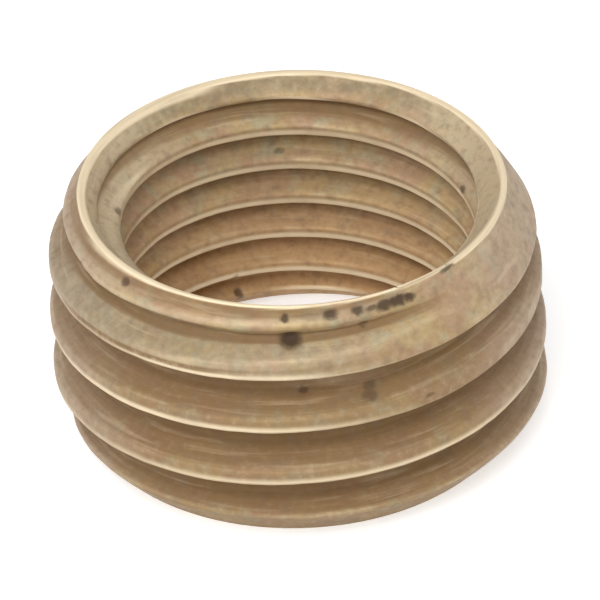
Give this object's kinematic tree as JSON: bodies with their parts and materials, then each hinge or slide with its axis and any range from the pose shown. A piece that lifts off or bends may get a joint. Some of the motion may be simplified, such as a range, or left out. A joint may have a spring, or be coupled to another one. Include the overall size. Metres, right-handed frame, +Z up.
{
  "type": "reducing bushing",
  "caption": "Short turned brass ring with a thread outside and a smaller thread inside, open through, with a chamfer and countersink at each end; it joins a small stem to a larger tapped hole.",
  "frame": {"origin": "middle of the lower end face, at the bottom of the bounding box", "axes": "+Z up along the axis of both threads, towards the end with the long lead-in chamfer; X and Y lie across it"},
  "size_m": [0.012, 0.012, 0.0064],
  "materials": {
    "aged_brass": "dull, unpolished, with darker tarnish in the thread roots"
  },
  "bodies": {
    "root": {"bushing": "aged_brass"}
  },
  "joints": []
}
